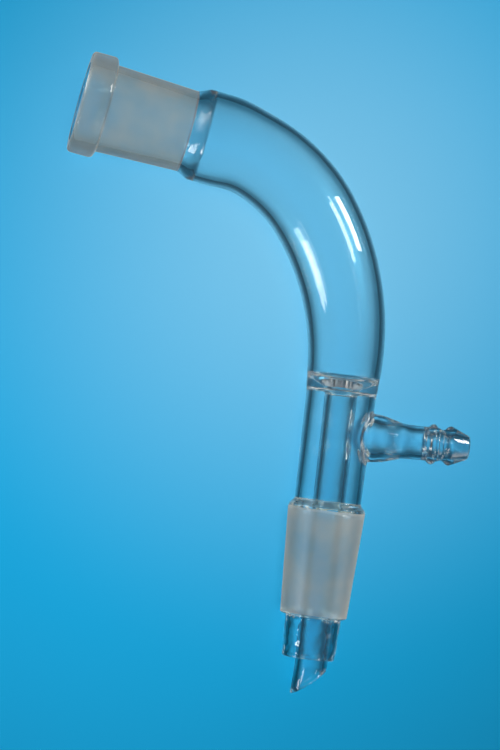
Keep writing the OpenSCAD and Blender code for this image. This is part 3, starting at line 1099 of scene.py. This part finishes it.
class ADAPTER_OT_studio(bpy.types.Operator):
    """Set up the table, the lamps, the room's light and the camera"""
    bl_idname = "adapter.studio"
    bl_label = "Studio"

    def execute(self, context):
        s = context.scene.adapter_studio
        context.scene.view_settings.view_transform = "Standard"
        cycles = context.scene.cycles
        cycles.max_bounces = BOUNCES
        cycles.transmission_bounces = BOUNCES
        cycles.glossy_bounces = BOUNCES
        table = self.table(s)
        self.camera(s)
        self.room(s)
        # A lit card over the table, which only the table's satin shows
        card = self.lamp("card", CARD_AT, CENTRE, CARD_SIZE, s.card, (1, 1, 1), table)
        card.data.cycles.use_multiple_importance_sampling = False
        glass = bpy.data.objects[PIECE]
        self.lamp("ceiling", CEILING_AT, CENTRE, CEILING_SIZE, 1, s.sky, glass)
        # Low lamps round the table, which draw the highlights along the tubes
        for name, azimuth, height, size, of_main in STRIPS:
            round_it, up = math.radians(azimuth), math.radians(height)
            way = Vector((math.cos(round_it) * math.cos(up),
                          math.sin(round_it) * math.cos(up), math.sin(up)))
            self.lamp(name, CENTRE + way * STRIPS_FAR, STRIPS_AIM, size,
                      s.lamp * of_main, s.glow, glass)
        return {"FINISHED"}

    def table(self, s):
        """A satin table with a painted pool of light: its colour is paler under the adapter."""
        start_clean()
        height = CAD_BOX[0].z
        bpy.ops.mesh.primitive_plane_add(size=TABLE_SIZE, location=(0, 0, height))
        bpy.ops.object.transform_apply(location=True)
        table = bpy.context.object
        table.name = "table"
        m = bpy.data.materials.new("table")
        m.use_nodes = True
        tree = m.node_tree
        shader = tree.nodes["Principled BSDF"].inputs
        shader["Metallic"].default_value = 1.0
        shader["Roughness"].default_value = s.gloss
        # Painted pool of light: the table's colour pales towards a point under the adapter
        middle = CONE_AT + UPRIGHT @ PAINTED_LIGHT_AT
        where = add(tree, "ShaderNodeTexCoord", (-900, 0)).outputs["Object"]
        pool = add(tree, "ShaderNodeMapping", (-700, 0), vector_type="TEXTURE", Vector=where,
                   Location=(middle.x, middle.y, height), Scale=(s.pool,) * 3)
        ball = add(tree, "ShaderNodeTexGradient", (-500, 0), gradient_type="SPHERICAL",
                   Vector=pool.outputs["Vector"])
        soft = fit(tree, (-300, 200), ball.outputs["Fac"], curve="SMOOTHSTEP")
        feed(tree, shader["Base Color"], blend(tree, (-150, 0), soft, s.rim, s.floor))
        table.data.materials.append(m)
        return table

    def camera(self, s):
        """A long lens that looks down on the adapter."""
        normal = ALONG.cross(UP)
        back = normal * math.cos(s.turn) - ALONG * math.sin(s.turn)
        across = UP.cross(back).normalized()
        above = back.cross(across)
        right = across * math.cos(s.lean) + above * math.sin(s.lean)
        up = above * math.cos(s.lean) - across * math.sin(s.lean)
        data = bpy.data.cameras.new("camera")
        data.lens = s.lens
        data.clip_start, data.clip_end = 0.01, 20
        distance = s.view_l * s.lens / data.sensor_width
        target = CONE_AT - right * s.aim_x + up * s.aim_y
        cam = bpy.data.objects.new("camera", data)
        bpy.context.scene.collection.objects.link(cam)
        turned = Matrix((right, up, back)).transposed().to_4x4()
        cam.matrix_world = Matrix.Translation(target + back * distance) @ turned
        bpy.context.scene.camera = cam

    def room(self, s):
        """Soft light from all sides. Gloss and glass show a dim room with bright windows."""
        world = bpy.data.worlds.new("studio")
        bpy.context.scene.world = world
        world.use_nodes = True
        tree = world.node_tree
        way = add(tree, "ShaderNodeTexCoord", (-1100, -200)).outputs["Generated"]
        parts = add(tree, "ShaderNodeSeparateXYZ", (-900, -200), Vector=way)
        up = work_out(tree, (-700, -200), "ABSOLUTE", parts.outputs["Z"])
        low = fit(tree, (-500, -200), up, WINDOW_TOP, WINDOW_FOOT, curve="SMOOTHSTEP")
        round_it = add(tree, "ShaderNodeTexGradient", (-900, -450), gradient_type="RADIAL",
                       Vector=way).outputs["Fac"]
        beat = work_out(tree, (-700, -450), "MULTIPLY_ADD", round_it, WINDOWS, WINDOW_AT)
        there = work_out(tree, (-500, -450), "PINGPONG", beat, 0.5)
        pane = fit(tree, (-300, -450), there, *PANE, curve="SMOOTHSTEP")
        lit = work_out(tree, (-100, -350), "MULTIPLY", low, pane)
        seen = blend(tree, (-300, -100), lit, s.dim, [c * s.windows for c in s.glow])
        path = add(tree, "ShaderNodeLightPath", (-500, 300)).outputs
        sharp = work_out(
            tree, (-300, 300), "MAXIMUM", path["Is Glossy Ray"], path["Is Transmission Ray"])
        feed(tree, tree.nodes["Background"].inputs["Color"],
             blend(tree, (-100, 200), sharp, s.room, seen))

    def lamp(self, name, at, aim, size, light, glow, lit):
        """An area lamp that lights one object. Its light is how bright its face is."""
        data = bpy.data.lights.new(name, "AREA")
        data.shape = "RECTANGLE"
        data.size, data.size_y = size
        data.energy = light * math.pi * size[0] * size[1]
        data.color = glow
        lamp = bpy.data.objects.new(name, data)
        bpy.context.scene.collection.objects.link(lamp)
        lamp.location = at
        lamp.rotation_euler = (at - aim).to_track_quat("Z", "Y").to_euler()
        only = bpy.data.collections.new(name + "_lights")
        only.objects.link(lit)
        lamp.light_linking.receiver_collection = only
        return lamp


# ---------------------------------------------------------------- add-on

class ADAPTER_PT_sidebar(bpy.types.Panel):
    """Every step and setting of the adapter, in the order they are used"""
    bl_idname = "ADAPTER_PT_sidebar"
    bl_label = "Vacuum Take-Off Adapter"
    bl_space_type = "VIEW_3D"
    bl_region_type = "UI"
    bl_category = "Adapter"

    def draw(self, context):
        for title, settings, steps in (
                ("Glass", "adapter_sizes", ("jacket", "bend", "socket", "side_arm", "fuse")),
                ("Finish", "adapter_finish", ("finish",)),
                ("Studio", "adapter_studio", ("studio",))):
            box = self.layout.box()
            box.label(text=title)
            values = getattr(context.scene, settings)
            for name in type(values).__annotations__:
                box.prop(values, name)
            for step in steps:
                box.operator("adapter." + step)


CLASSES = (
    AdapterSizes, AdapterFinish, AdapterStudio,
    ADAPTER_OT_jacket, ADAPTER_OT_bend, ADAPTER_OT_socket, ADAPTER_OT_side_arm,
    ADAPTER_OT_fuse, ADAPTER_OT_finish, ADAPTER_OT_studio, ADAPTER_PT_sidebar)


def register():
    for c in CLASSES:
        bpy.utils.register_class(c)
    bpy.types.Scene.adapter_sizes = PointerProperty(type=AdapterSizes)
    bpy.types.Scene.adapter_finish = PointerProperty(type=AdapterFinish)
    bpy.types.Scene.adapter_studio = PointerProperty(type=AdapterStudio)


def unregister():
    del bpy.types.Scene.adapter_studio
    del bpy.types.Scene.adapter_finish
    del bpy.types.Scene.adapter_sizes
    for c in reversed(CLASSES):
        bpy.utils.unregister_class(c)


def main():
    register()
    bpy.ops.adapter.jacket()
    bpy.ops.adapter.bend()
    bpy.ops.adapter.socket()
    bpy.ops.adapter.side_arm()
    bpy.ops.adapter.fuse()
    bpy.ops.adapter.finish()
    bpy.ops.adapter.studio()


if __name__ == "__main__":
    main()
